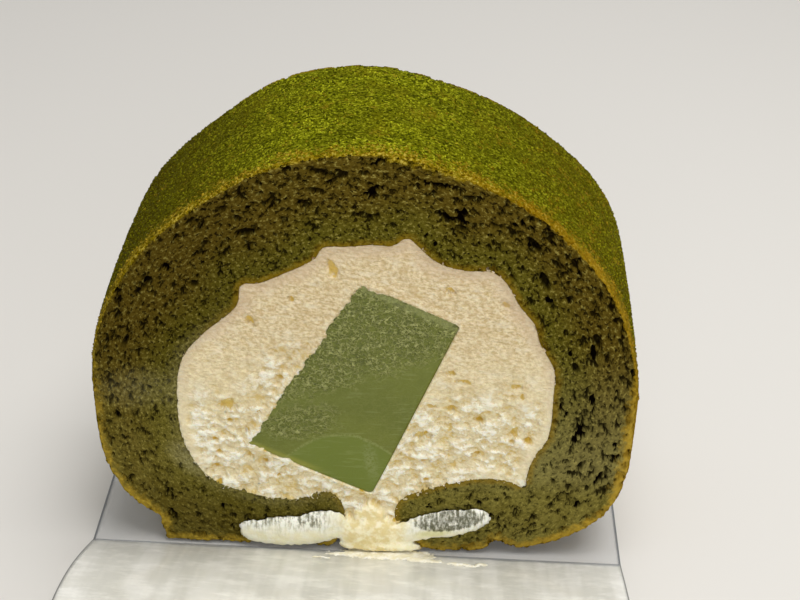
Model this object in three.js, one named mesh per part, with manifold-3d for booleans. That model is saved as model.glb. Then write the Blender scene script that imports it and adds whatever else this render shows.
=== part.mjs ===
// One thick slice of a green tea swiss roll, standing on the clear film that it was wrapped in.
// Millimetres, +Z up. The cut face that shows looks along -Y, and +X is to its right.
// The origin is under the middle of the slice, on the underside of the film.
import * as THREE from 'three';
import { mergeVertices } from 'three/addons/utils/BufferGeometryUtils.js';
import Module from 'manifold-3d';

const wasm = await Module();
wasm.setup();

// Driving sizes
const fitGap = 0.3;                     // air between two pieces that touch
const film = {
  width: 89, offsetX: -1.4, thickness: 0.3,
  creaseAheadLeft: 0.3, creaseAheadRight: 1.3, behind: 3, // past the front face and past the back face
  flapReach: 42, riseLeft: 10.5, riseRight: 6,
  levelFrom: 0.69, droopFrom: 0.55, droop: 3,             // shares of the flap's reach, and how far its end drops
};
const roll = {
  width: 85, height: 75, depth: 31,
  widestAt: 32,                         // height of the widest place above the base
  domePower: 1.86, basePower: 3.25,     // superellipse powers of the dome and of the sagged lower half
  sag: 0.9,                             // how far the base has settled flat
  footReach: 34.2,                      // the left end is squashed into a square foot as far out as this
  sheetStart: -170, sheetEnd: 142.2,    // where the crust leaves the base, in degrees from the top
  flatBelow: 0.4,                       // the base stays flat up to this height
  edgeRound: 0.7, unevenness: 0.35,
};
// The roll is out of true, more at its back: [angle in degrees, half width, at the front, at the back].
const bulges = [
  [-118, 16, 1.1, 1.1], [-88, 20, 0.7, 0.5], [-62, 13, 0.3, 1.2], [-22, 14, 0.2, 0.7],
  [12, 13, 0, -0.85], [62, 22, 0.4, 1.7], [122, 20, 1.7, 1.5],
];
const bar = {
  topWidth: 16.4, footWidth: 22, length: 35.3, lean: 25.3, centre: [-0.95, 33.5],
  corner: 0.7, proud: 0.15,
};
const baseZ = film.thickness + fitGap;
const frontY = -roll.depth / 2;
const backY = roll.depth / 2;

// A repeatable random draw
function drawFrom(seed) {
  let state = seed >>> 0;
  return () => {
    state = (Math.imul(state, 1664525) + 1013904223) >>> 0;
    return state / 4294967296;
  };
}

// Section of the roll
// An angle turns from the top of the roll, positive towards +X. All section points are [x, z].
function crustPoint(angle) {
  const side = Math.abs(Math.sin(angle)) / (roll.width / 2);
  const low = Math.cos(angle) < 0;
  const reach = low ? roll.widestAt : roll.height - roll.widestAt;
  const power = low ? roll.basePower : roll.domePower;
  const radius = (side ** power + (Math.abs(Math.cos(angle)) / reach) ** power) ** (-1 / power);
  const x = radius * Math.sin(angle);
  const z = roll.widestAt + radius * Math.cos(angle);
  if (low && x < 0 && x > -roll.footReach) return [x, 0];
  return [x, Math.max(0, z - roll.sag) * roll.height / (roll.height - roll.sag)];
}

// The inside of the sheet is scalloped where it creased as it was rolled: [angle in degrees, radius].
const creases = [
  [121.5, 30.7], [116, 29.6], [111, 29.3], [104, 29.9], [87, 29.3], [77.5, 29.7], [66.5, 28.8], [60, 29.4],
  [52, 29.2], [42, 30.4], [37.5, 30.2], [32.5, 28.4], [27, 27.4], [21.5, 27.4], [15.5, 28.8], [11.5, 29.9],
  [8, 28.0], [3, 27.9], [-6.5, 27.5], [-13.5, 27.8], [-15.5, 26.5], [-20, 25.7], [-28, 25.4], [-38.5, 26.0],
  [-42.5, 27.4], [-49, 25.4], [-56, 25.5], [-66, 27.0], [-78, 28.9], [-94, 29.7], [-112, 31.1], [-126, 31.0],
];
// The two ends of the sheet turn in along the base and leave a neck for the cream between them.
const rightLip = [
  [21.9, 2.7], [20.6, 0.9], [15, 0], [10.5, 0.2], [7.4, 3.0], [5.0, 7.4], [6.0, 10.8],
  [9.4, 12.9], [14.2, 14.8], [19.4, 16.1], [24.1, 15.4], [26.6, 13.6],
];
const leftLip = [[-20.2, 11.4], [-14.7, 9.9], [-10.4, 10.1], [-6.2, 11.9], [-4.1, 10.4], [-3.2, 5.9], [-4.2, 1.6]];

function smooth(points, spacing) {
  const curve = new THREE.CatmullRomCurve3(points.map(([x, z]) => new THREE.Vector3(x, 0, z)), false, 'centripetal');
  const count = Math.max(2, Math.round(curve.getLength() / spacing));
  return curve.getSpacedPoints(count).map((p) => [p.x, p.z]);
}

function sampleCrust(fromAngle, toAngle, spacing) {
  const path = [crustPoint(fromAngle)];
  const steps = 4000;
  for (let i = 1; i <= steps; i += 1) {
    const next = crustPoint(fromAngle + (toAngle - fromAngle) * i / steps);
    const last = path[path.length - 1];
    if (Math.hypot(next[0] - last[0], next[1] - last[1]) >= spacing) path.push(next);
  }
  return path;
}

const crustSpacing = 2.3;
const innerSpacing = 1.2;
const { degToRad } = THREE.MathUtils;
const crustLine = sampleCrust(degToRad(roll.sheetStart), degToRad(roll.sheetEnd), crustSpacing);
const creaseLine = creases.map(([degrees, radius]) => {
  const angle = degToRad(degrees);
  return [radius * Math.sin(angle), roll.widestAt + radius * Math.cos(angle)];
});
const innerLine = smooth([...creaseLine, ...leftLip], innerSpacing);
const lipLine = smooth(rightLip, innerSpacing);
const spongeOutline = [...crustLine, ...lipLine, ...innerLine];

// Moves a closed outline sideways by a distance, positive towards its right hand as it is walked.
function shifted(outline, distance, closed = true) {
  const count = outline.length;
  return outline.map(([x, z], i) => {
    const before = outline[closed ? (i + count - 1) % count : Math.max(0, i - 1)];
    const after = outline[closed ? (i + 1) % count : Math.min(count - 1, i + 1)];
    const along = new THREE.Vector2(after[0] - before[0], after[1] - before[1]).normalize();
    return [x + along.y * distance, z - along.x * distance];
  });
}

// The cream fills what the sheet leaves: the shifted inner line, closed under the neck.
// It stops short of the tip of the fold behind the right lip.
const foldTip = rightLip[rightLip.length - 1];
const shortOfFold = 1.5;
const neckFoot = [[-3.7, 0.1], [-1.5, 0], [3.5, 0], [8.2, 0]];
const neckRight = 10.3;
const creamGap = fitGap + 0.02;
const lipFace = lipLine.slice(lipLine.findIndex(([x]) => x < neckRight));
const creamOutline = [
  ...shifted([...lipFace, ...innerLine], -creamGap, false)
    .filter(([x, z]) => Math.hypot(x - foldTip[0], z - foldTip[1]) > shortOfFold),
  ...neckFoot,
];

// The bar leans to the right and is wider at its foot, and its edges are rounded.
function barOutline(grow = 0) {
  const lean = degToRad(bar.lean);
  const [cx, cz] = bar.centre;
  const corners = [[-1, -1], [-1, 1], [1, 1], [1, -1]].map(([u, v]) => {
    const across = u * ((v > 0 ? bar.topWidth : bar.footWidth) / 2 + grow);
    const along = v * (bar.length / 2 + grow);
    return new THREE.Vector2(
      cx + across * Math.cos(lean) + along * Math.sin(lean),
      cz - across * Math.sin(lean) + along * Math.cos(lean),
    );
  });
  const outline = [];
  corners.forEach((corner, i) => {
    const toBefore = corners[(i + 3) % 4].clone().sub(corner).setLength(bar.corner);
    const toAfter = corners[(i + 1) % 4].clone().sub(corner).setLength(bar.corner);
    const arc = new THREE.QuadraticBezierCurve(corner.clone().add(toBefore), corner, corner.clone().add(toAfter));
    outline.push(...arc.getPoints(3).map((p) => [p.x, p.y]));
  });
  return outline;
}

// Solids
// Joins rings of [x, z] points, one for each y, into a closed body with flat ends.
function loft(rings, stations) {
  const flat = rings[0].map(([x, z]) => new THREE.Vector2(x, z));
  const order = rings[0].map((_, i) => (THREE.ShapeUtils.isClockWise(flat) ? rings[0].length - 1 - i : i));
  const contour = order.map((i) => flat[i]);
  const count = order.length;
  const positions = [];
  const indices = [];
  rings.forEach((ring, k) => order.forEach((i) => positions.push(ring[i][0], stations[k], ring[i][1] + baseZ)));
  for (let k = 0; k + 1 < rings.length; k += 1) {
    for (let i = 0; i < count; i += 1) {
      const next = (i + 1) % count;
      const [a, b, c, d] = [k * count + i, k * count + next, (k + 1) * count + next, (k + 1) * count + i];
      indices.push(a, c, b, a, d, c);
    }
  }
  const last = (rings.length - 1) * count;
  THREE.ShapeUtils.triangulateShape(contour, []).forEach(([a, b, c]) => {
    const anticlockwise = THREE.ShapeUtils.area([contour[a], contour[b], contour[c]]) > 0;
    indices.push(...(anticlockwise ? [a, b, c] : [a, c, b]));
    indices.push(...(anticlockwise ? [last + a, last + c, last + b] : [last + a, last + b, last + c]));
  });
  const geometry = new THREE.BufferGeometry();
  geometry.setAttribute('position', new THREE.Float32BufferAttribute(positions, 3));
  geometry.setIndex(indices);
  return geometry;
}

function toSolid(geometry) {
  const bare = geometry.clone();
  bare.deleteAttribute('normal');
  bare.deleteAttribute('uv');
  const merged = mergeVertices(bare, 1e-5);
  return new wasm.Manifold(new wasm.Mesh({
    numProp: 3,
    vertProperties: new Float32Array(merged.attributes.position.array),
    triVerts: new Uint32Array(merged.index.array),
  }));
}

function toGeometry(solid) {
  const mesh = solid.getMesh();
  const geometry = new THREE.BufferGeometry();
  geometry.setAttribute('position', new THREE.Float32BufferAttribute(mesh.vertProperties, 3));
  geometry.setIndex(Array.from(mesh.triVerts));
  return geometry;
}

// An ellipsoid at [x, y, z], turned in the face's plane. Its half sizes are along, deep and across.
function pebble([x, y, z], [along, deep, across], turn = 0, detail = 0) {
  const geometry = new THREE.IcosahedronGeometry(1, detail);
  geometry.scale(along, deep, across);
  geometry.rotateY(-turn);
  geometry.translate(x, y, z + baseZ);
  return toSolid(geometry);
}

function box([x0, x1], [y0, y1], [z0, z1]) {
  const geometry = new THREE.BoxGeometry(x1 - x0, y1 - y0, z1 - z0);
  geometry.translate((x0 + x1) / 2, (y0 + y1) / 2, (z0 + z1) / 2);
  return toSolid(geometry);
}

// Sponge
// Stations through the depth; the crust is drawn in by the second value, so both cut edges are rounded.
const crustStations = [
  [frontY, 1], [frontY + 0.6, 0.35], [frontY + 2, 0], [-7, -0.3], [0, -0.45], [7, -0.3],
  [backY - 2, 0], [backY - 0.6, 0.35], [backY, 1],
];

// Low waves round the crust: [how many round the roll, start, change along the depth, share of the unevenness].
const waves = [[3, 0, 0.09, 0.5], [7, 1.3, -0.05, 0.3], [13, 0, 0, 0.2]];
const lowestCrust = 0.05;

function crustChange(angle, y) {
  let change = 0;
  for (const [count, start, along, share] of waves) {
    change += roll.unevenness * share * Math.sin(count * angle + start + along * y);
  }
  for (const [middle, halfWidth, front, back] of bulges) {
    const size = THREE.MathUtils.lerp(front, back, (y - frontY) / roll.depth);
    change += size * Math.exp(-(((THREE.MathUtils.radToDeg(angle) - middle) / halfWidth) ** 2));
  }
  return change;
}

function spongeRing(y, drawnIn) {
  return spongeOutline.map(([x, z], i) => {
    if (i >= crustLine.length || z < roll.flatBelow) return [x, z];
    const angle = Math.atan2(x, z - roll.widestAt);
    const change = crustChange(angle, y) - roll.edgeRound * drawnIn;
    return [x + Math.sin(angle) * change, Math.max(lowestCrust, z + Math.cos(angle) * change)];
  });
}

// Air holes stretched along the sheet. The largest are where the slice shows them: [x, z, length, width, turn].
const largeHoles = [
  [-17.5, 61.2, 4.0, 1.6, 10], [-7.4, 68.6, 3.6, 1.1, -4], [-20.8, 65.0, 2.6, 1.0, 24], [-32.4, 52.2, 2.0, 1.8, 50],
  [-25.6, 52.0, 1.9, 1.4, 30], [-36.8, 41.0, 4.6, 0.9, 62], [-34.4, 22.0, 3.4, 0.9, 86], [24.3, 60.8, 4.4, 1.5, -48],
  [26.3, 54.6, 4.2, 1.6, -66], [13.8, 63.2, 3.0, 1.2, -20], [35.0, 44.2, 3.4, 1.5, -72], [32.2, 39.0, 2.8, 1.4, -64],
  [34.6, 19.4, 3.0, 1.2, 76], [30.6, 16.0, 2.2, 1.0, -70], [-12.0, 63.8, 2.2, 0.9, -10], [3.0, 70.0, 2.4, 0.8, 0],
];
const largeHoleDepth = 1.5;
const smallHoles = {
  perFace: 34, length: [0.9, 1.9], width: [0.45, 0.8], depth: [0.5, 1.0],
  spread: 135, outward: [0.77, 0.93],   // degrees to each side of the top, and shares of the way out to the crust
  turn: 17,                             // degrees that a hole may turn from the sheet
};

function airHoles() {
  const draw = drawFrom(11);
  const between = ([low, high]) => low + (high - low) * draw();
  const holes = [];
  for (const [x, z, length, width, turn] of largeHoles) {
    const half = [length / 2, largeHoleDepth, width / 2];
    for (const [face, mirrored] of [[frontY, 1], [backY, -1]]) {
      holes.push(pebble([x * mirrored, face, z], half, degToRad(turn) * mirrored, 1));
    }
  }
  for (let i = 0; i < smallHoles.perFace * 2; i += 1) {
    const angle = degToRad(between([-smallHoles.spread, smallHoles.spread]));
    const [outX, outZ] = crustPoint(angle);
    const share = between(smallHoles.outward);
    const place = [outX * share, i % 2 ? frontY : backY, roll.widestAt + (outZ - roll.widestAt) * share];
    const half = [between(smallHoles.length) / 2, between(smallHoles.depth), between(smallHoles.width) / 2];
    holes.push(pebble(place, half, degToRad(between([-smallHoles.turn, smallHoles.turn])) - angle));
  }
  return holes;
}

function makeSponge() {
  const rings = crustStations.map(([y, drawnIn]) => spongeRing(y, drawnIn));
  const body = toSolid(loft(rings, crustStations.map(([y]) => y)));
  return toGeometry(body.subtract(wasm.Manifold.union(airHoles())));
}

// Cream
// The knife dragged cream over both ends of the sheet: pads of [x, z, half length, half height, proud, turn].
const smears = [
  [-12.2, 3.5, 9.0, 3.4, 1.3, 4], [-8.0, 5.2, 5.5, 2.9, 1.1, 20], [-16.6, 3.4, 4.6, 2.2, 0.9, -12],
  [13.4, 6.5, 8.0, 3.0, 1.3, 14], [8.2, 4.6, 5.0, 2.3, 1.1, 8], [17.4, 7.6, 3.6, 2.4, 1.1, 20],
  [1.0, 3.6, 5.6, 3.5, 1.6, 0], [2.6, 1.0, 7.2, 1.6, 1.7, 0],
];
const smearLift = 1.1;                  // clear of the film, which rises from its crease
const neckPlug = [[-1.6, 1], [-1.4, 8], [1, 10], [3.2, 8], [3.8, 1]]; // joins the pads to the cream behind them
const plugDepth = { ahead: 0.8, behind: 1 };
const creamEdge = { sunk: 0.05, bevel: 0.25, depth: 0.5 };
const creamPits = {
  perFace: 26, length: [1.0, 2.2], width: [0.5, 1.0], depth: [0.35, 0.8],
  heights: [17, 53], reach: 23.6,       // above the base, and from the middle of the roll
  clearOfBar: 10.5, turn: 26,
};

function makeCream() {
  const { sunk, bevel, depth } = creamEdge;
  const bevelled = shifted(creamOutline, -bevel);
  let cream = toSolid(loft(
    [bevelled, creamOutline, creamOutline, bevelled],
    [frontY + sunk, frontY + depth, backY - depth, backY - sunk],
  ));
  const past = 5;
  const slot = toSolid(loft([barOutline(fitGap), barOutline(fitGap)], [frontY - past, backY + past]));
  cream = cream.subtract(slot);
  const inFront = box([-roll.width, roll.width], [frontY - past, frontY - fitGap], [smearLift, roll.height]);
  const pads = smears.map(([x, z, along, up, proud, turn]) => (
    pebble([x, frontY - fitGap, z], [along, proud, up], degToRad(turn), 2)
  ));
  const smear = wasm.Manifold.union(pads).intersect(inFront);
  const neck = toSolid(loft([neckPlug, neckPlug], [frontY - plugDepth.ahead, frontY + plugDepth.behind]));
  cream = cream.add(neck).add(smear);
  const draw = drawFrom(29);
  const between = ([low, high]) => low + (high - low) * draw();
  const lean = degToRad(bar.lean);
  const pits = [];
  while (pits.length < creamPits.perFace * 2) {
    const x = between([-creamPits.reach, creamPits.reach]);
    const z = between(creamPits.heights);
    const acrossBar = (x - bar.centre[0]) * Math.cos(lean) - (z - bar.centre[1]) * Math.sin(lean);
    const inside = Math.hypot(x, z - roll.widestAt) < creamPits.reach;
    if (Math.abs(acrossBar) < creamPits.clearOfBar || !inside) continue;
    const half = [between(creamPits.length) / 2, between(creamPits.depth), between(creamPits.width) / 2];
    const turn = degToRad(between([-creamPits.turn, creamPits.turn]));
    pits.push(pebble([x, pits.length % 2 ? frontY : backY, z], half, turn));
  }
  return toGeometry(cream.subtract(wasm.Manifold.union(pits)));
}

// Green bar
const barEdge = { bevel: 0.25, depth: 0.3 };

function makeBar() {
  const ends = shifted(barOutline(), barEdge.bevel);
  const rings = [ends, barOutline(), barOutline(), ends];
  return loft(rings, [frontY - bar.proud, frontY + barEdge.depth, backY - barEdge.depth, backY + bar.proud]);
}

// Clear film
// The film lies flat under the slice, turns up at the crease and bows forward, higher on its left.
function filmPoint(across, share) {
  const { lerp } = THREE.MathUtils;
  const creaseY = frontY - lerp(film.creaseAheadLeft, film.creaseAheadRight, across);
  const rise = lerp(film.riseLeft, film.riseRight, across);
  const bow = Math.sin(Math.min(1, share / film.levelFrom) * Math.PI / 2) * rise;
  const fall = film.droop * (Math.max(0, share - film.droopFrom) / (1 - film.droopFrom)) ** 2;
  return [film.offsetX + film.width * (across - 0.5), creaseY - film.flapReach * share, bow - fall];
}

function makeFilm() {
  const flapSteps = 9;
  const columns = 8;
  const rows = flapSteps + 2;
  const positions = [];
  const indices = [];
  for (const lift of [0, film.thickness]) {
    for (let row = 0; row < rows; row += 1) {
      for (let column = 0; column <= columns; column += 1) {
        const [x, y, z] = filmPoint(column / columns, Math.max(0, row - 1) / flapSteps);
        positions.push(x, row ? y : backY + film.behind, z + lift);
      }
    }
  }
  const at = (side, row, column) => (side * rows + row) * (columns + 1) + column;
  for (let row = 0; row + 1 < rows; row += 1) {
    for (let column = 0; column < columns; column += 1) {
      for (const side of [0, 1]) {
        const [a, b] = [at(side, row, column), at(side, row, column + 1)];
        const [c, d] = [at(side, row + 1, column + 1), at(side, row + 1, column)];
        indices.push(...(side ? [a, c, b, a, d, c] : [a, b, c, a, c, d]));
      }
    }
    for (const [column, flip] of [[0, true], [columns, false]]) {
      const [a, b] = [at(0, row, column), at(0, row + 1, column)];
      const [c, d] = [at(1, row + 1, column), at(1, row, column)];
      indices.push(...(flip ? [a, b, c, a, c, d] : [a, c, b, a, d, c]));
    }
  }
  for (let column = 0; column < columns; column += 1) {
    for (const [row, flip] of [[0, false], [rows - 1, true]]) {
      const [a, b] = [at(0, row, column), at(0, row, column + 1)];
      const [c, d] = [at(1, row, column + 1), at(1, row, column)];
      indices.push(...(flip ? [a, b, c, a, c, d] : [a, c, b, a, d, c]));
    }
  }
  const geometry = new THREE.BufferGeometry();
  geometry.setAttribute('position', new THREE.Float32BufferAttribute(positions, 3));
  geometry.setIndex(indices);
  return geometry;
}

const finishes = {
  sponge: { color: 0x5f6420, roughness: 0.95 },
  cream: { color: 0xf0e2bd, roughness: 0.6 },
  bar: { color: 0x6c8a45, roughness: 0.4 },
  film: { color: 0xe9eef0, roughness: 0.1, transparent: true, opacity: 0.3 },
};

function piece(name, geometry, finish) {
  geometry.computeVertexNormals();
  const mesh = new THREE.Mesh(geometry, new THREE.MeshStandardMaterial({ metalness: 0, ...finish }));
  mesh.name = name;
  return mesh;
}

const slice = new THREE.Group();
slice.add(
  piece('sponge_sheet', makeSponge(), finishes.sponge),
  piece('cream_filling', makeCream(), finishes.cream),
  piece('green_bar', makeBar(), finishes.bar),
  piece('clear_film', makeFilm(), finishes.film),
);

export default slice;
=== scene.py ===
# A thick slice of tea sponge rolled round cream and a firm green bar, on its opened clear film.
import math

import bpy
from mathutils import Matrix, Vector


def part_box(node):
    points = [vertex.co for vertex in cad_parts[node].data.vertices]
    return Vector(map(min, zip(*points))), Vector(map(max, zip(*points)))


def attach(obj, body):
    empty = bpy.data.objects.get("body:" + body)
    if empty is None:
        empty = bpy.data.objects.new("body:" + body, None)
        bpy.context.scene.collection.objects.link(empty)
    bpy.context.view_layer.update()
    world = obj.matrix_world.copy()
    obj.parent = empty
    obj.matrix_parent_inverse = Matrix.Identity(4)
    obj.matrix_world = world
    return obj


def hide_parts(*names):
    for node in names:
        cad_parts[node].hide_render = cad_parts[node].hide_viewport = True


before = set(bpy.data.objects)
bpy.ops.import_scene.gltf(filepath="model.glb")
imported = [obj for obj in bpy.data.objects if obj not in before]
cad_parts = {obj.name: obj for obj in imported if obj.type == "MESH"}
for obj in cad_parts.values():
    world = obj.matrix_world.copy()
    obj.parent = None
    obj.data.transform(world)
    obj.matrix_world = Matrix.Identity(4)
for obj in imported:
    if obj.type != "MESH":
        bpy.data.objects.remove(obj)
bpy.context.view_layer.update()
mm = 0.001


# One socket of a node tree, so that its maths can be written as an expression
class Wire:
    def __init__(self, kit, socket):
        self.kit = kit
        self.socket = socket

    def __add__(self, other):
        return self.kit.math("ADD", self, other)

    def __sub__(self, other):
        return self.kit.math("SUBTRACT", self, other)

    def __mul__(self, other):
        return self.kit.math("MULTIPLY", self, other)

    def __truediv__(self, other):
        return self.kit.math("DIVIDE", self, other)

    def __pow__(self, other):
        return self.kit.math("POWER", self, other)

    def __rsub__(self, other):
        return self.kit.math("SUBTRACT", other, self)

    __radd__ = __add__
    __rmul__ = __mul__


# Adds nodes to one tree, of a material or of a geometry modifier
class Kit:
    def __init__(self, tree):
        self.tree = tree

    def node(self, kind, settings=None, sockets=None, output=0):
        made = self.tree.nodes.new(kind)
        for name, value in (settings or {}).items():
            setattr(made, name, value)
        for name, value in (sockets or {}).items():
            self.feed(made, name, value)
        if output is None:
            return made
        return Wire(self, self.pick(made.outputs, output))

    def pick(self, sockets, key):
        if isinstance(key, int):
            return [socket for socket in sockets if socket.enabled][key]
        return next(socket for socket in sockets if socket.name == key and socket.enabled)

    def feed(self, made, name, value):
        socket = self.pick(made.inputs, name)
        if isinstance(value, Wire):
            self.tree.links.new(value.socket, socket)
        else:
            socket.default_value = value

    def math(self, operation, *values):
        made = self.tree.nodes.new("ShaderNodeMath")
        made.operation = operation
        for i, value in enumerate(values):
            self.feed(made, i, value)
        return Wire(self, made.outputs[0])

    def larger(self, first, second):
        return self.math("MAXIMUM", first, second)

    def smaller(self, first, second):
        return self.math("MINIMUM", first, second)

    def size(self, value):
        return self.math("ABSOLUTE", value)

    def sign(self, value):
        return self.math("SIGN", value)

    # 0 up to low, 1 from high on, smooth between; high may be the smaller one
    def step(self, value, low, high):
        return self.node("ShaderNodeMapRange", {"interpolation_type": "SMOOTHSTEP"},
                         {"Value": value, "From Min": low, "From Max": high})

    def split(self, vector):
        made = self.tree.nodes.new("ShaderNodeSeparateXYZ")
        self.feed(made, 0, vector)
        return [Wire(self, made.outputs[i]) for i in range(3)]

    def joined(self, x, y, z):
        return self.node("ShaderNodeCombineXYZ", {}, {"X": x, "Y": y, "Z": z})

    def colours(self, factor, first, second):
        return self.node("ShaderNodeMix", {"data_type": "RGBA"}, {"Factor": factor, "A": first, "B": second})

    def attribute(self, name):
        return self.node("ShaderNodeAttribute", {"attribute_name": name}, {}, "Fac")

    # Noise from 0 to 1 with features of about this size in metres
    def noise(self, place, size, detail=2.0, rough=0.5):
        return self.node("ShaderNodeTexNoise", {},
                         {"Vector": place, "Scale": 1 / size, "Detail": detail, "Roughness": rough})

    # Round spots in cells of this size: 1 in a spot's middle, 0 outside. Their radii, in cells, vary.
    def spots(self, place, size, smallest, largest):
        made = self.node("ShaderNodeTexVoronoi", {}, {"Vector": place, "Scale": 1 / size}, None)
        distance = Wire(self, made.outputs["Distance"])
        draw = self.split(Wire(self, made.outputs["Color"]))[0]
        radius = draw * draw * (largest - smallest) + smallest
        return self.step(distance, radius, radius * 0.5)

    # How far out a point is in an ellipse, given in millimetres: 0 in its middle and 1 on its edge
    def ellipse(self, right, up, middle, half, turn=0):
        cosine = math.cos(math.radians(turn))
        sine = math.sin(math.radians(turn))
        right = right - middle[0] * mm
        up = up - middle[1] * mm
        along = (right * cosine + up * sine) / (half[0] * mm)
        across = (up * cosine - right * sine) / (half[1] * mm)
        return (along * along + across * across) ** 0.5


# A colour given as the 0 to 255 values that a screen shows
def tint(red, green, blue):
    return tuple((value / 255) ** 2.2 for value in (red, green, blue)) + (1.0,)


def selectOnly(piece):
    bpy.ops.object.select_all(action="DESELECT")
    piece.select_set(True)
    bpy.context.view_layer.objects.active = piece


def applyModifier(piece, kind, **settings):
    selectOnly(piece)
    modifier = piece.modifiers.new(kind, kind)
    for name, value in settings.items():
        setattr(modifier, name, value)
    bpy.ops.object.modifier_apply(modifier=modifier.name)


# Runs a function that builds nodes between a geometry input and output, and applies the result
def applyNodes(piece, build):
    tree = bpy.data.node_groups.new(piece.name + "Shape", "GeometryNodeTree")
    tree.interface.new_socket("Geometry", in_out="INPUT", socket_type="NodeSocketGeometry")
    tree.interface.new_socket("Geometry", in_out="OUTPUT", socket_type="NodeSocketGeometry")
    kit = Kit(tree)
    shape = kit.node("NodeGroupInput")
    result = build(kit, shape)
    kit.node("NodeGroupOutput", {}, {"Geometry": result}, None)
    applyModifier(piece, "NODES", node_group=tree)


def moved(kit, shape, offset):
    return kit.node("GeometryNodeSetPosition", {}, {"Geometry": shape, "Offset": offset})


def stored(kit, shape, name, value):
    return kit.node("GeometryNodeStoreNamedAttribute", {"data_type": "FLOAT", "domain": "POINT"},
                    {"Geometry": shape, "Name": name, "Value": value})


def nodeShape(kit, nodeName):
    return kit.node("GeometryNodeObjectInfo", {}, {"Object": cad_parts[nodeName]}, "Geometry")


def distanceTo(kit, target, place):
    return kit.node("GeometryNodeProximity", {"target_element": "FACES"}, {0: target, 2: place}, "Distance")


# The depth, with the sign of y, at which patterns that go straight into a cut face are read
def faceDepth(kit, y):
    return kit.sign(y) * 10 * mm


def copyNode(nodeName, name):
    piece = bpy.data.objects.new(name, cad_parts[nodeName].data.copy())
    bpy.context.scene.collection.objects.link(piece)
    piece.data.materials.clear()
    selectOnly(piece)
    bpy.ops.object.mode_set(mode="EDIT")
    bpy.ops.mesh.select_all(action="SELECT")
    bpy.ops.mesh.remove_doubles(threshold=mm / 500)
    bpy.ops.object.mode_set(mode="OBJECT")
    return piece


def countTriangles(piece):
    return sum(len(face.vertices) - 2 for face in piece.data.polygons)


def thinTo(piece, triangles):
    now = countTriangles(piece)
    if now > triangles:
        applyModifier(piece, "DECIMATE", ratio=triangles / now)


# Gives a piece a fine even mesh, shapes that by a function of nodes, and thins it
def reshape(piece, settings, build):
    applyModifier(piece, "REMESH", mode="VOXEL", voxel_size=settings["voxel"])
    applyNodes(piece, build)
    thinTo(piece, settings["triangles"])


def newFinish(name):
    finish = bpy.data.materials.new(name)
    finish.use_nodes = True
    finish.node_tree.nodes.clear()
    return finish, Kit(finish.node_tree)


def setSurface(kit, sockets):
    surface = kit.node("ShaderNodeBsdfPrincipled", {}, sockets)
    kit.node("ShaderNodeOutputMaterial", {}, {"Surface": surface}, None)


def bumped(kit, relief, distance, strength):
    return kit.node("ShaderNodeBump", {}, {"Strength": strength, "Distance": distance, "Height": relief},
                    "Normal")


def finishPiece(piece, finish, slot, *nodes):
    piece.data.materials.clear()
    piece.data.materials.append(finish)
    selectOnly(piece)
    bpy.ops.object.shade_smooth()
    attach(piece, "root")
    if nodes:
        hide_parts(*nodes)
    print(piece.name, "is ready with", countTriangles(piece), "triangles")


spongeLow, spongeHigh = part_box("sponge_sheet")
filmLow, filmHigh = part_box("clear_film")
frontY = spongeLow.y
backY = spongeHigh.y
baseZ = spongeLow.z

# Camera and room
camera = {"place": (9.7, -187.8, 167.2), "turn": (56.06, -1.07, 2.24), "lens": 63}
bpy.ops.object.camera_add(location=[value * mm for value in camera["place"]],
                          rotation=[math.radians(value) for value in camera["turn"]])
eye = bpy.context.object
eye.data.lens = camera["lens"]
eye.data.sensor_width = 36
eye.data.clip_start = 0.01
bpy.context.scene.camera = eye
bpy.context.scene.view_settings.view_transform = "Standard"

room = {
    "keyPower": 2.6, "fillPower": 1.6, "backPower": 0.6, "aim": (0, 0, 0.03),
    "sky": 0.36, "floorSize": 1.6,
}


def addLight(name, place, size, power, colour):
    bpy.ops.object.light_add(type="AREA", location=place)
    light = bpy.context.object
    light.name = name
    light.data.size = size
    light.data.energy = power
    light.data.color = colour
    light.rotation_euler = (Vector(room["aim"]) - Vector(place)).to_track_quat("-Z", "Y").to_euler()


addLight("keyLight", (0.10, -0.06, 0.58), 0.36, room["keyPower"], (1.0, 0.98, 0.95))
addLight("fillLight", (0.06, -0.62, 0.24), 0.46, room["fillPower"], (1.0, 0.99, 0.97))
addLight("backLight", (0.15, 0.45, 0.5), 0.40, room["backPower"], (1.0, 0.99, 0.97))
sky = bpy.data.worlds.new("sky")
sky.use_nodes = True
sky.node_tree.nodes["Background"].inputs["Color"].default_value = (1.0, 0.985, 0.96, 1)
sky.node_tree.nodes["Background"].inputs["Strength"].default_value = room["sky"]
bpy.context.scene.world = sky

bpy.ops.mesh.primitive_plane_add(size=room["floorSize"], location=(0, 0, 0))
floor = bpy.context.object
floor.name = "floor"
finish, kit = newFinish("floorFinish")
setSurface(kit, {"Base Color": tint(212, 210, 206), "Roughness": 0.45})
floor.data.materials.append(finish)
print("room ready")

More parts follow.
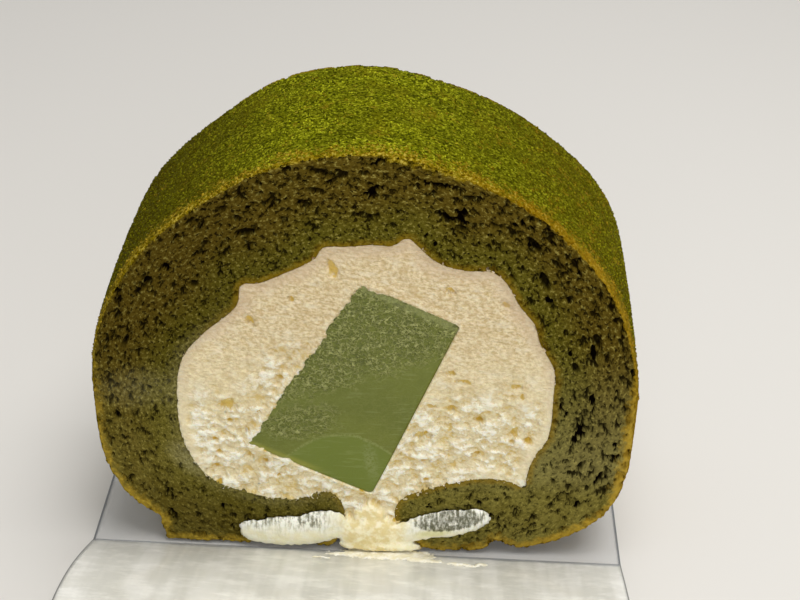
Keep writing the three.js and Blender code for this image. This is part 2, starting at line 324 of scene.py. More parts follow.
# Sponge
# The sheet is rolled, so its crumb is drawn out round the middle of the roll.
sponge = {
    "voxel": 0.32 * mm, "triangles": 195000,
    "width": 85 * mm, "widestAt": 32 * mm, "height": 75 * mm, "domePower": 1.86, "basePower": 3.25,
    "sheetRadius": 37 * mm,             # turns angles round the roll into lengths along the sheet
    "stretch": 1.7,                     # how much longer than wide the air holes are
    "wideHoles": 2.3 * mm, "middleHoles": 0.95 * mm, "crumbSize": 0.65 * mm,
    "holeDepth": 1.2 * mm, "crumbDepth": 0.5 * mm,
    "crustRelief": 0.3 * mm, "crustInset": 0.08 * mm,
    "topFrom": 58 * mm, "topFull": 70 * mm, "topSunk": 0.32 * mm,
    "raggedRelief": 1.4 * mm, "raggedBelow": 26 * mm,
    "powderFrom": 24 * mm, "powderFull": 42 * mm, "bareBand": 2.4 * mm, "rimNotch": 1.0 * mm,
    # Middle and half size in millimetres, turn in degrees and strength
    "hazes": (((-35.0, 32.5), (8.5, 5.0), 8, 0.22), ((-29.0, 18.6), (5.0, 2.8), -54, 0.45)),
}
axisZ = baseZ + sponge["widestAt"]      # the middle that the sheet is rolled round


# Coordinates round the roll: along the sheet, through the slice, outwards
def sheetPlace(kit, place, stretch):
    x, y, z = kit.split(place)
    up = z - axisZ
    angle = kit.math("ARCTAN2", x, up)
    radius = (x * x + up * up) ** 0.5
    return kit.joined(angle * (sponge["sheetRadius"] / stretch), y, radius)


# The same, but level through the slice, so that a pattern goes straight down into a cut face
def facePlace(kit, place, stretch):
    x, y, z = kit.split(place)
    return sheetPlace(kit, kit.joined(x, faceDepth(kit, y), z), stretch)


# 1 on the outside of the roll, less inside it
def shareOut(kit, place):
    x, y, z = kit.split(place)
    up = z - axisZ
    side = kit.size(x) / (sponge["width"] / 2)
    top = kit.larger(up, 0) / (sponge["height"] - sponge["widestAt"])
    foot = kit.larger(0 - up, 0) / sponge["widestAt"]
    dome = (side ** sponge["domePower"] + top ** sponge["domePower"]) ** (1 / sponge["domePower"])
    base = (side ** sponge["basePower"] + foot ** sponge["basePower"]) ** (1 / sponge["basePower"])
    return dome + (base - dome) * kit.math("LESS_THAN", up, 0)


# The faces on the outside of the sheet
def crustFaces(kit):
    place = kit.node("GeometryNodeInputPosition")
    x, y, z = kit.split(place)
    turnX, turnY, turnZ = kit.split(kit.node("GeometryNodeInputNormal"))
    outwards = kit.math("GREATER_THAN", x * turnX + (z - axisZ) * turnZ, 0)
    upright = kit.math("LESS_THAN", kit.size(turnY), 0.6)
    outermost = kit.math("GREATER_THAN", shareOut(kit, place), 0.95)
    chosen = outwards * upright * outermost
    return kit.node("GeometryNodeSeparateGeometry", {"domain": "FACE"},
                    {"Geometry": nodeShape(kit, "sponge_sheet"), "Selection": chosen}, "Selection")


# 0 beside the cream, 1 well away from it
def awayFromCream(kit, toCream):
    return kit.step(toCream, 2 * mm, 9 * mm)


# The crumb is more open away from the cream and on the right
def airiness(kit, x, toCream):
    return awayFromCream(kit, toCream) + kit.step(x, 4 * mm, 22 * mm) * 0.5


# Large and middling air holes
def crumbHoles(kit, level, airy):
    wide = kit.step(kit.noise(level, sponge["wideHoles"], 3, 0.65) - airy * 0.035, 0.325, 0.295)
    middle = kit.step(kit.noise(level, sponge["middleHoles"], 3, 0.7) - airy * 0.03, 0.405, 0.375)
    return kit.larger(wide, middle * 0.7)


def shapeSponge(kit, shape):
    place = kit.node("GeometryNodeInputPosition")
    turnX, turnY, turnZ = kit.split(kit.node("GeometryNodeInputNormal"))
    x, y, z = kit.split(place)
    facing = kit.size(turnY)
    cut = kit.step(facing, 0.5, 0.85)
    toCrust = distanceTo(kit, crustFaces(kit), place)
    toCream = distanceTo(kit, nodeShape(kit, "cream_filling"), kit.joined(x, 0, z))
    crust = kit.step(facing, 0.8, 0.45) * kit.step(toCrust, 1.0 * mm, 0.4 * mm)
    level = facePlace(kit, place, sponge["stretch"])
    crumb = kit.noise(level, sponge["crumbSize"], 3, 0.65)
    holes = crumbHoles(kit, level, airiness(kit, x, toCream))
    inward = kit.sign(turnY) * (holes * sponge["holeDepth"] + crumb * sponge["crumbDepth"]) * cut * -1
    low = kit.step(z, sponge["raggedBelow"], sponge["raggedBelow"] * 0.35)
    ragged = (kit.noise(place, 1.8 * mm, 3, 0.7) - 0.5) * sponge["raggedRelief"] * low
    onTop = kit.step(z, sponge["topFrom"], sponge["topFull"])
    grain = (kit.noise(place, 0.9 * mm, 3, 0.65) - 0.5) * sponge["crustRelief"]
    grain = grain - onTop * sponge["topSunk"] - sponge["crustInset"]
    atEdge = kit.step(backY - kit.size(y), 1.2 * mm, 0)
    notch = kit.step(kit.noise(place, 1.5 * mm, 3, 0.65), 0.50, 0.62) * atEdge * sponge["rimNotch"]
    lift = (grain + ragged - notch) * crust
    shape = stored(kit, shape, "crust", crust)
    shape = stored(kit, shape, "toCrust", toCrust)
    shape = stored(kit, shape, "toCream", toCream)
    return moved(kit, shape, kit.joined(turnX * lift, turnY * lift + inward, turnZ * lift))


# How thickly the powder lies: full on top, thin down the sides, rubbed off at the cut edges and in flecks
def powderCover(kit, place):
    x, y, z = kit.split(place)
    wander = kit.noise(place, 2.6 * mm, 3, 0.65) - 0.5
    speckle = kit.noise(place, 0.6 * mm, 3, 0.7) - 0.5
    height = kit.step(z + wander * 26 * mm + speckle * 30 * mm, sponge["powderFrom"], sponge["powderFull"])
    ragged = wander * 9 * mm + speckle * 12 * mm
    front = kit.step(y - frontY + ragged, sponge["bareBand"] * 0.6, sponge["bareBand"] * 1.4)
    back = kit.step(backY - y + speckle * 3 * mm, sponge["bareBand"] * 0.1, sponge["bareBand"] * 0.4)
    thin = kit.step(x, 6 * mm, 30 * mm) * 0.05
    worn = kit.step(speckle + wander * 0.9 + thin, 0.15, 0.22)
    return height * front * back * (1 - worn * 0.6)


# Light and dark patches in the powder, drawn out along the sheet
def powderCloud(kit, place):
    patches = kit.noise(sheetPlace(kit, place, 2.6), 3.2 * mm, 3, 0.6)
    return kit.step(patches, 0.36, 0.64)


# Down both sides the powder is browner, as the crust shows through it, and darker with painted shade, most
# of all on the left
def brownedAndShaded(kit, place, colour):
    x = kit.split(place)[0]
    colour = kit.colours(kit.step(kit.size(x), 10 * mm, 38 * mm) * 0.42, colour, tint(90, 74, 2))
    # Painted shade: darker on the right, and more so on the left
    colour = kit.colours(kit.step(x, 6 * mm, 20 * mm) * 0.18, colour, tint(60, 58, 0))
    return kit.colours(kit.step(x, -8 * mm, -34 * mm) * 0.5, colour, tint(52, 46, 0))


# The bare crust and the golden grains are a warmer brown on the right
def warmed(kit, place, colour):
    x = kit.split(place)[0]
    return kit.colours(kit.step(x, 10 * mm, 24 * mm) * 0.4, colour, tint(128, 90, 6))


# Colours of the skin and of the powder on it, and their relief
def crustColours(kit, place):
    x = kit.split(place)[0]
    bark = kit.noise(place, 0.5 * mm, 3, 0.7)
    skin = kit.colours(kit.step(bark, 0.40, 0.50), tint(76, 62, 2), tint(128, 109, 18))
    skin = kit.colours(kit.step(bark, 0.53, 0.64), skin, tint(176, 157, 66))
    skin = warmed(kit, place, skin)
    # A painted glow of light on the skin at the far right
    skin = kit.colours(kit.step(x, 26 * mm, 38 * mm) * 0.3, skin, tint(184, 150, 44))
    felt = kit.noise(sheetPlace(kit, place, 1.3), 0.42 * mm, 3, 0.75)
    powder = kit.colours(kit.step(felt, 0.38, 0.52), tint(46, 50, 0), tint(104, 108, 4))
    powder = kit.colours(kit.step(felt, 0.53, 0.64), powder, tint(164, 167, 44))
    powder = kit.colours(powderCloud(kit, place) * 0.4 + 0.6, tint(62, 62, 0), powder)
    thinner = kit.step(kit.noise(place, 6 * mm, 3, 0.55), 0.45, 0.7)
    powder = kit.colours(thinner * 0.25, powder, tint(116, 100, 14))
    return skin, brownedAndShaded(kit, place, powder), bark * 0.5 + felt * 0.5


def spongeFinish():
    finish, kit = newFinish("spongeFinish")
    place = kit.node("ShaderNodeTexCoord", {}, {}, "Object")
    x, y, z = kit.split(place)
    crust = kit.attribute("crust")
    toCrust = kit.attribute("toCrust")
    toCream = kit.attribute("toCream")
    inside = backY - kit.size(y)

    # Crumb: painted shade in its air holes and deeper into the cut, light walls, browner near the crust and
    # greener near the cream
    level = facePlace(kit, place, sponge["stretch"])
    threads = facePlace(kit, place, 1.4)
    fine = kit.noise(threads, 0.50 * mm, 3, 0.7)
    coarse = kit.noise(level, 1.9 * mm, 3, 0.6)
    small = kit.noise(threads, 0.72 * mm, 3, 0.7)
    paler = kit.step(z, 46 * mm, 14 * mm)
    rightSide = kit.step(x, -6 * mm, 14 * mm)
    upperLeft = kit.step(x, -6 * mm, -24 * mm) * kit.step(z, 30 * mm, 40 * mm)
    leftLip = kit.step(x, 0, -8 * mm) * kit.step(z, 15 * mm, 10 * mm)
    rightFoot = rightSide * paler * kit.step(z, 12 * mm, 20 * mm)
    mottle = kit.step(kit.noise(level, 3.0 * mm, 3, 0.6), 0.40, 0.62)
    crumb = kit.colours(awayFromCream(kit, toCream), tint(90, 84, 28), tint(88, 74, 27))
    crumb = kit.colours(paler * (coarse * 0.8 + rightSide * 0.4), crumb, tint(124, 116, 58))
    crumb = kit.colours(paler * mottle * 0.4, crumb, tint(82, 74, 24))
    crumb = kit.colours(kit.step(fine, 0.48, 0.40) * (0.55 - paler * 0.25), crumb, tint(48, 38, 4))
    crumb = kit.colours(kit.step(fine, 0.54, 0.65) * 0.8, crumb, tint(148, 137, 70))
    crumb = kit.colours(upperLeft * 0.22, crumb, tint(48, 36, 0))
    crumb = kit.colours(leftLip * 0.28, crumb, tint(60, 50, 0))
    crumb = kit.colours(rightFoot * 0.11, crumb, tint(190, 184, 140))
    # Painted shade: the small pores, the air holes and all that lies deeper than the cut face are darkened
    crumb = kit.colours(kit.step(small, 0.435, 0.40) * (0.85 - paler * 0.4), crumb, tint(26, 19, 1))
    holeShade = tint(16, 10, 0)
    crumb = kit.colours(crumbHoles(kit, level, airiness(kit, x, toCream)), crumb, holeShade)
    crumb = kit.colours(kit.step(inside, 0.6 * mm, 1.4 * mm) * 0.9, crumb, holeShade)

    # A skin on both sides of the sheet, and cream dragged over the crumb
    skin, powder, crustRelief = crustColours(kit, place)
    ragged = kit.noise(place, 1.1 * mm, 3, 0.65) - 0.5
    innerLine = kit.step(toCream + ragged * 1.6 * mm, 1.7 * mm, 0.5 * mm)
    leftLow = kit.step(x, 4 * mm, -14 * mm) * kit.step(z, 52 * mm, 40 * mm)
    crumb = kit.colours(innerLine * (small * 1.1) * (1 - leftLow), crumb, tint(136, 108, 28))
    lowSide = kit.step(z, 44 * mm, 24 * mm)
    rindWidth = 0.8 * mm + lowSide * 1.3 * mm
    rindWander = ragged * (2.0 * mm + lowSide * 1.6 * mm)
    rind = kit.step(toCrust + rindWander, rindWidth, 0.2 * mm)
    crumb = kit.colours(rind * 0.9, crumb, kit.colours(lowSide * 0.55, skin, tint(192, 160, 64)))
    haze = 0
    for middle, half, turn, strength in sponge["hazes"]:
        haze = haze + kit.step(kit.ellipse(x, z, middle, half, turn), 1.1, 0.2) * strength
    haze = haze + kit.step(toCream + ragged * 2.5 * mm, 3.0 * mm, 0) * leftLow * 0.2
    haze = haze * (0.4 + kit.step(fine, 0.42, 0.60) * 0.6) * kit.math("LESS_THAN", y, 0)
    crumb = kit.colours(kit.smaller(haze, 1), crumb, tint(162, 156, 112))

    outside = kit.colours(powderCover(kit, place), skin, powder)
    colour = kit.colours(kit.step(crust + (fine - 0.5) * 0.3, 0.35, 0.6), crumb, outside)
    crumbRelief = fine * 0.45 + small * 0.7
    relief = crumbRelief + (crustRelief - crumbRelief) * crust
    setSurface(kit, {"Base Color": colour, "Roughness": 0.95, "Normal": bumped(kit, relief, 0.5 * mm, 1.0),
                     "Specular IOR Level": 0.03})
    return finish


spongePiece = copyNode("sponge_sheet", "sponge")
reshape(spongePiece, sponge, shapeSponge)

# Powder grains
powder = {"perSquare": 2.6e6, "radius": 0.20 * mm, "smallest": 0.45, "largest": 1.25, "seed": 7}


def shapeGrains(kit, shape):
    place = kit.node("GeometryNodeInputPosition")
    crust = kit.node("GeometryNodeInputNamedAttribute", {"data_type": "FLOAT"}, {"Name": "crust"},
                     "Attribute")
    x, y, z = kit.split(place)
    inRim = kit.step(backY - kit.size(y), 0.5 * mm, 1.0 * mm)
    share = crust * inRim * kit.step(z, 30 * mm, 44 * mm) * (0.3 + 0.7 * powderCover(kit, place))
    density = share * powder["perSquare"]
    points = kit.node("GeometryNodeDistributePointsOnFaces", {},
                      {"Mesh": shape, "Density": density, "Seed": powder["seed"]}, "Points")
    shade = kit.node("FunctionNodeRandomValue", {"data_type": "FLOAT"}, {"Seed": 1}, "Value")
    points = stored(kit, points, "shade", shade)
    turn = kit.node("FunctionNodeRandomValue", {"data_type": "FLOAT_VECTOR"},
                    {"Min": (0, 0, 0), "Max": (6, 6, 6), "Seed": 2}, "Value")
    size = kit.node("FunctionNodeRandomValue", {"data_type": "FLOAT_VECTOR"},
                    {"Min": (powder["smallest"],) * 3, "Max": (powder["largest"],) * 3, "Seed": 3}, "Value")
    ball = kit.node("GeometryNodeMeshIcoSphere", {}, {"Radius": powder["radius"], "Subdivisions": 1}, "Mesh")
    grains = kit.node("GeometryNodeInstanceOnPoints", {},
                      {"Points": points, "Instance": ball, "Rotation": turn, "Scale": size}, "Instances")
    return kit.node("GeometryNodeRealizeInstances", {}, {"Geometry": grains}, "Geometry")


def grainFinish():
    finish, kit = newFinish("grainFinish")
    place = kit.node("ShaderNodeTexCoord", {}, {}, "Object")
    shade = kit.attribute("shade")
    green = kit.colours(shade ** 1.6, tint(54, 58, 0), tint(172, 175, 40))
    green = kit.colours(powderCloud(kit, place) * 0.4 + 0.6, tint(64, 64, 0), green)
    golden = warmed(kit, place, kit.colours(shade, tint(104, 84, 6), tint(174, 146, 46)))
    # The green grains get the browner sides and the painted side shade of the powder
    colour = kit.colours(powderCover(kit, place), golden, brownedAndShaded(kit, place, green))
    setSurface(kit, {"Base Color": colour, "Roughness": 0.95, "Specular IOR Level": 0.03})
    return finish


grainPiece = bpy.data.objects.new("powder_grains", spongePiece.data.copy())
bpy.context.scene.collection.objects.link(grainPiece)
applyNodes(grainPiece, shapeGrains)
finishPiece(spongePiece, spongeFinish(), "sponge", "sponge_sheet")
finishPiece(grainPiece, grainFinish(), "sponge")

# Place of the green bar, which the cream round it needs too
bar = {
    "voxel": 0.3 * mm, "triangles": 90000, "lean": 25.3, "middle": (-0.95, 33.5),
    "closeGap": 0.38 * mm,              # the bar fills the gap that it has in the cream
    "footDrop": 0.8 * mm,               # its foot reaches this much further down than the solid's
    "footFrom": -12.5 * mm, "footFull": -16.8 * mm,
    "footBand": (-17.0 * mm, -17.8 * mm), "topBand": (16.4 * mm, 17.0 * mm),
    "frost": 0.6 * mm, "sunk": 0.35 * mm, "frostFrom": 36.3 * mm,
    "smoothTop": (-3.5, 24.8), "smoothCurve": 0.06,
}


# Coordinates on the bar: across it and up it, in metres from its middle
def barPlace(kit, place):
    lean = math.radians(bar["lean"])
    x, y, z = kit.split(place)
    right = x - bar["middle"][0] * mm
    up = z - (bar["middle"][1] * mm + baseZ)
    return right * math.cos(lean) - up * math.sin(lean), right * math.sin(lean) + up * math.cos(lean)


# How a point near the bar's foot moves down along the bar, in x and z
def footShift(kit, place, share):
    lean = math.radians(bar["lean"])
    up = barPlace(kit, place)[1]
    drop = kit.step(up, bar["footFrom"], bar["footFull"]) * share * bar["footDrop"]
    return drop * -math.sin(lean), drop * -math.cos(lean)


# Cream
cream = {
    "voxel": 0.32 * mm, "triangles": 180000,
    "closeGap": 0.36 * mm,              # the cream fills its fitting gap
    "overSponge": 0.9 * mm, "overBar": 0.8 * mm,    # about how far its torn edges reach over its neighbours
    "edgeRough": 1.0 * mm,
    "flattened": 0.35,                  # share of the smears' thickness that is taken away
    "dragRelief": 0.45 * mm, "tornRelief": 1.0 * mm, "holeDepth": 0.8 * mm,
    "rimWidth": 1.8 * mm, "rimSunk": 0.16 * mm,
    # Middle and half size in millimetres, and turn in degrees
    "nicks": (((-4.9, 56.0), (0.8, 2.0), 18), ((-17.4, 46.2), (0.5, 1.1), 30),
              ((15.2, 36.1), (1.3, 0.5), -12), ((13.2, 37.7), (0.8, 0.5), 0),
              ((23.4, 35.4), (0.9, 0.5), 0), ((24.5, 33.4), (0.4, 0.7), 0),
              ((13.6, 30.5), (0.7, 0.7), 0), ((8.9, 24.8), (1.4, 0.7), 0),
              ((13.6, 26.6), (0.5, 0.9), 0), ((23.8, 26.1), (0.6, 1.3), -8),
              ((-21.9, 29.7), (1.3, 1.5), 20), ((12.6, 53.0), (0.9, 0.4), -20),
              ((-11.0, 50.5), (0.4, 0.7), 10), ((21.0, 50.6), (1.0, 0.4), -30)),
}


# Where the knife tore the cream: a band left of the bar, and all of the lower part
def tornShare(kit, place):
    x, y, z = kit.split(place)
    wander = (kit.noise(place, 5 * mm, 2, 0.5) - 0.5) * 14 * mm
    higherOnRight = kit.step(x, -8 * mm, 6 * mm) * 2 * mm
    low = kit.step(z + wander - higherOnRight, 37 * mm, 26 * mm)
    aside = x - z * 0.45 + wander * 0.6
    band = kit.step(aside, -16 * mm, -24 * mm) * kit.step(aside, -37 * mm, -31 * mm)
    leftOfBar = band * kit.step(z, 46 * mm, 38 * mm)
    return kit.larger(low, leftOfBar * 0.9)


# Coordinates that draw a pattern out the way the knife went
def creamDrag(kit, place):
    x, y, z = kit.split(place)
    return kit.joined(x * 0.65, faceDepth(kit, y), z + x * 0.12)


# Small bubbles that the knife opened
def creamPits(kit, drag):
    return kit.spots(drag, 1.7 * mm, 0.05, 0.40)


# Depth of the torn cream, from 0 on its ridges to 1 in its hollows
def creamTear(kit, place):
    x, y, z = kit.split(place)
    level = kit.joined(x * 0.75, faceDepth(kit, y), z + x * 0.1)
    lumps = kit.step(kit.noise(level, 2.6 * mm, 4, 0.65), 0.60, 0.40)
    crumbs = kit.step(kit.noise(level, 1.0 * mm, 3, 0.7), 0.64, 0.38)
    return lumps * 0.6 + crumbs * 0.4


# The larger nicks of the front face
def creamNicks(kit, place):
    x, y, z = kit.split(place)
    ragged = (kit.noise(place, 0.9 * mm, 4, 0.75) - 0.5) * 2.6
    nicks = 0
    for middle, half, turn in cream["nicks"]:
        nicks = kit.larger(nicks, kit.step(kit.ellipse(x, z, middle, half, turn) + ragged, 1.0, 0.6))
    return nicks * kit.math("LESS_THAN", y, 0)


def shapeCream(kit, shape):
    place = kit.node("GeometryNodeInputPosition")
    turnX, turnY, turnZ = kit.split(kit.node("GeometryNodeInputNormal"))
    x, y, z = kit.split(place)
    facing = kit.size(turnY)
    cut = kit.step(facing, 0.6, 0.9)
    wall = 1 - kit.step(facing, 0.75, 0.95)
    proud = kit.step(y, frontY, frontY - 0.3 * mm)
    toSponge = distanceTo(kit, nodeShape(kit, "sponge_sheet"), place)
    toBar = distanceTo(kit, nodeShape(kit, "green_bar"), place)
    drag = creamDrag(kit, place)
    hasRim = kit.step(z + (kit.noise(place, 3 * mm) - 0.5) * 8 * mm, 15 * mm, 21 * mm)
    torn = tornShare(kit, place) * kit.larger(kit.step(toSponge, 0.8 * mm, 2.4 * mm), 1 - hasRim)
    tear = creamTear(kit, place)
    pits = creamPits(kit, drag) * (torn * 0.8 + 0.12)
    wander = (kit.noise(place, 3 * mm, 3, 0.6) - 0.5) * 4 * mm
    rimWidth = cream["rimWidth"] * (1 + kit.step(z, 36 * mm, 50 * mm))
    rim = kit.step(toSponge + wander, rimWidth, 0.3 * mm) * hasRim
    depth = (kit.noise(drag, 0.7 * mm, 3, 0.65) * cream["dragRelief"] + tear * torn * cream["tornRelief"]
             + kit.larger(pits, creamNicks(kit, place)) * cream["holeDepth"] + rim * cream["rimSunk"])
    # The relief fades out beside the bar, so the cream stays above the bar's sunk face
    depth = depth * kit.step(toBar, 0.5 * mm, 1.4 * mm)
    ragged = (kit.noise(place, 1.0 * mm, 4, 0.7) - 0.5) * 1.5 * mm * proud
    edgeLumps = kit.step(kit.noise(place, 1.0 * mm, 3, 0.65), 0.44, 0.66)
    edgeWaves = kit.step(kit.noise(place, 4 * mm, 3, 0.6), 0.40, 0.62)
    nearBar = kit.step(toBar, 1.2 * mm, 0.6 * mm)
    tornSide = kit.step(x - z * 0.45, -18 * mm, -22 * mm)
    overBar = nearBar * (0.12 + (edgeWaves * 0.6 + edgeLumps * 0.4) * tornSide) * cream["overBar"]
    rough = (kit.noise(place, 0.9 * mm, 3, 0.7) - 0.5) * cream["edgeRough"] * (1 - nearBar)
    nearSponge = kit.step(toSponge, 1.2 * mm, 0.6 * mm)
    overSponge = nearSponge * (edgeLumps * (1.35 - hasRim) * cream["overSponge"] + rough)
    overSponge = overSponge * kit.step(z, 2.0 * mm, 4.0 * mm)       # clear of the film below it
    closed = (1 - nearBar) * cream["closeGap"]
    side = wall * (1 - proud) * (overBar + overSponge + closed) + ragged
    flat = kit.larger(frontY - y, 0) * cream["flattened"]
    front = kit.sign(turnY) * depth * cut * (1 - proud) * -1 + turnY * ragged * 0.25 + flat
    shape = stored(kit, shape, "rim", rim * (1 - proud))
    shape = stored(kit, shape, "torn", torn)
    shape = stored(kit, shape, "proud", proud)
    shiftX, shiftZ = footShift(kit, place, kit.step(toBar, 2.6 * mm, 0.4 * mm))
    return moved(kit, shape, kit.joined(turnX * side + shiftX, front, turnZ * side + shiftZ))


def creamFinish():
    finish, kit = newFinish("creamFinish")
    place = kit.node("ShaderNodeTexCoord", {}, {}, "Object")
    x, y, z = kit.split(place)
    rim = kit.attribute("rim")
    torn = kit.attribute("torn")
    proud = kit.attribute("proud")
    drag = creamDrag(kit, place)
    fine = kit.noise(drag, 0.5 * mm, 4, 0.7)
    strokes = kit.noise(drag, 1.4 * mm, 3, 0.6)
    tear = creamTear(kit, place)
    pits = creamPits(kit, drag)
    # Painted shade darkens the upper part of the cream, and painted light brightens its lower part
    high = kit.step(z, 26 * mm, 48 * mm)
    colour = kit.colours(kit.step(fine, 0.36, 0.64), tint(208, 187, 136), tint(242, 228, 186))
    upperInShade = kit.colours(kit.step(fine, 0.38, 0.62), tint(194, 169, 121), tint(237, 220, 183))
    colour = kit.colours(high * 0.8, colour, upperInShade)
    colour = kit.colours(kit.step(strokes, 0.46, 0.36) * 0.4, colour, tint(200, 173, 123))
    colour = kit.colours(kit.step(strokes, 0.54, 0.66) * 0.5, colour, tint(243, 232, 203))
    # Painted light on the lower part of the cream
    colour = kit.colours((1 - high) * 0.35, colour, tint(248, 237, 200))
    # On the torn cream, a painted highlight on the ridges and painted shade in the hollows, over the cream's
    # own whiter and yellower tones
    colour = kit.colours(kit.step(tear, 0.50, 0.14) * torn * 0.9, colour, tint(255, 252, 234))
    colour = kit.colours(kit.step(tear, 0.68, 1.0) * torn * 0.7, colour, tint(214, 182, 92))
    colour = kit.colours(pits * (torn * 0.9 + 0.12), colour, tint(206, 170, 66))
    colour = kit.colours(creamNicks(kit, place) * 0.8, colour, tint(218, 185, 78))
    # Painted shade in the sunk rim beside the sponge, pinker and darker higher up
    rimShade = kit.colours(high, tint(230, 217, 184), tint(208, 184, 154))
    colour = kit.colours(rim * 0.6, colour, rimShade)

    # The smears: yellowish lumps in the neck, smooth and pale low down, streaked white above
    streaks = kit.noise(kit.joined(x, 0, z * 0.3), 0.55 * mm, 3, 0.65)
    lumps = kit.step(kit.noise(place, 1.3 * mm, 2, 0.55), 0.40, 0.62)
    wander = (kit.noise(place, 3 * mm, 2, 0.5) - 0.5) * 3 * mm
    neck = kit.colours(lumps, tint(228, 211, 154), tint(248, 239, 204))
    smooth = kit.colours(lumps, tint(244, 237, 202), tint(250, 245, 220))
    smear = kit.colours(kit.step(kit.size(x - 1.5 * mm) + wander, 3.5 * mm, 6.5 * mm), neck, smooth)
    leftUpper = kit.step(z + wander, 3.6 * mm, 5.4 * mm) * kit.step(x, -3 * mm, -7 * mm)
    rightUpper = kit.step(z - x * 0.16 + wander * 0.5, 2.6 * mm, 3.8 * mm) * kit.step(x, 6 * mm, 9 * mm)
    white = kit.colours(kit.step(streaks, 0.38, 0.58), tint(218, 216, 196), tint(252, 251, 240))
    smear = kit.colours(kit.smaller(leftUpper + rightUpper, 1) * 0.9, smear, white)
    yellowish = kit.step(kit.ellipse(x, z, (11.5, 5.4), (4.2, 1.1), 10), 1.1, 0.3)
    smear = kit.colours(yellowish * 0.6, smear, tint(212, 206, 122))

    # Both smears are so thin in places that the sponge shows through them
    rightMiddle = kit.step(kit.ellipse(x, z, (14.2, 8.2), (6.4, 2.2), 12) + (streaks - 0.5) * 0.5, 1.0, 0.8)
    leftTop = kit.step(z - x * 0.05 + wander, 5.6 * mm, 7.2 * mm) * kit.step(x, -5 * mm, -8 * mm)
    gaps = streaks * 0.55 + kit.noise(place, 0.8 * mm, 4, 0.75) * 0.45
    seenThrough = rightMiddle * kit.step(gaps, 0.68, 0.42) + leftTop * kit.step(gaps, 0.56, 0.42) * 0.8
    smear = kit.colours(kit.smaller(seenThrough, 1) * 0.9, smear, tint(62, 63, 26))
    colour = kit.colours(proud, colour, smear)

    relief = (fine * 0.7 + kit.noise(drag, 0.8 * mm, 3, 0.6) * 0.9 - tear * torn * 0.6) * (1 - proud * 0.7)
    setSurface(kit, {
        "Base Color": colour, "Roughness": 0.45, "Normal": bumped(kit, relief, 0.5 * mm, 0.9),
        "Subsurface Weight": 0.2, "Subsurface Radius": (1.2 * mm, 0.8 * mm, 0.4 * mm),
        "Subsurface Scale": 1.0, "Specular IOR Level": 0.4})
    return finish


creamPiece = copyNode("cream_filling", "cream")
reshape(creamPiece, cream, shapeCream)
finishPiece(creamPiece, creamFinish(), "cream", "cream_filling")

# Green bar


# How high a point lies above the curve below which the bar was cut smooth
def aboveSmooth(kit, place):
    x, y, z = kit.split(place)
    aside = x - bar["smoothTop"][0] * mm
    curve = bar["smoothTop"][1] * mm - aside * aside * (bar["smoothCurve"] / mm)
    return z - curve + (kit.noise(place, 2 * mm, 3, 0.6) - 0.5) * 0.8 * mm


def smoothShare(kit, place):
    return kit.step(aboveSmooth(kit, place), 0.5 * mm, -0.5 * mm)


# Where the bar was torn to a frosty grain as it was cut: its top, and a patch low on the left
def frostShare(kit, place):
    x, y, z = kit.split(place)
    wander = kit.noise(place, 3 * mm, 3, 0.65) - 0.5
    top = kit.step(z - x * 0.4 - bar["frostFrom"] + wander * 12 * mm, -2 * mm, 3 * mm)
    patch = kit.step(kit.ellipse(x, z, (-10.3, 27.1), (7.0, 3.5), 15) + wander * 1.5, 1.15, 0.6)
    return kit.larger(top, patch * 0.8) * (1 - smoothShare(kit, place))


# Thin wavy ridges that the knife raised, 1 along their crests
def barRidges(kit, place):
    x, y, z = kit.split(place)
    level = kit.joined(x * 0.8, faceDepth(kit, y), z)
    wide = kit.step(kit.size(kit.noise(level, 1.3 * mm, 3, 0.6) - 0.5), 0.04, 0.0)
    narrow = kit.step(kit.size(kit.noise(level, 0.7 * mm, 2, 0.6) - 0.48), 0.045, 0.0)
    return kit.larger(wide, narrow * 0.8)


def shapeBar(kit, shape):
    place = kit.node("GeometryNodeInputPosition")
    x, y, z = kit.split(place)
    turnX, turnY, turnZ = kit.split(kit.node("GeometryNodeInputNormal"))
    cut = kit.step(kit.size(turnY), 0.6, 0.9)
    grain = kit.noise(place, 0.8 * mm, 3, 0.65) * 0.7 + barRidges(kit, place) * 0.35 - 0.7
    sag = (kit.noise(place, 5 * mm) - 0.5) * 0.2 * mm - smoothShare(kit, place) * 0.1 * mm
    offset = (grain * frostShare(kit, place) * bar["frost"] + sag) * cut
    sunk = kit.step(kit.size(y), backY - 1.2 * mm, backY - 0.2 * mm) * bar["sunk"]
    fill = (1 - cut) * bar["closeGap"]
    inward = kit.sign(turnY) * offset - kit.sign(y) * sunk
    shiftX, shiftZ = footShift(kit, place, 1)
    return moved(kit, shape, kit.joined(turnX * fill + shiftX, inward, turnZ * fill + shiftZ))


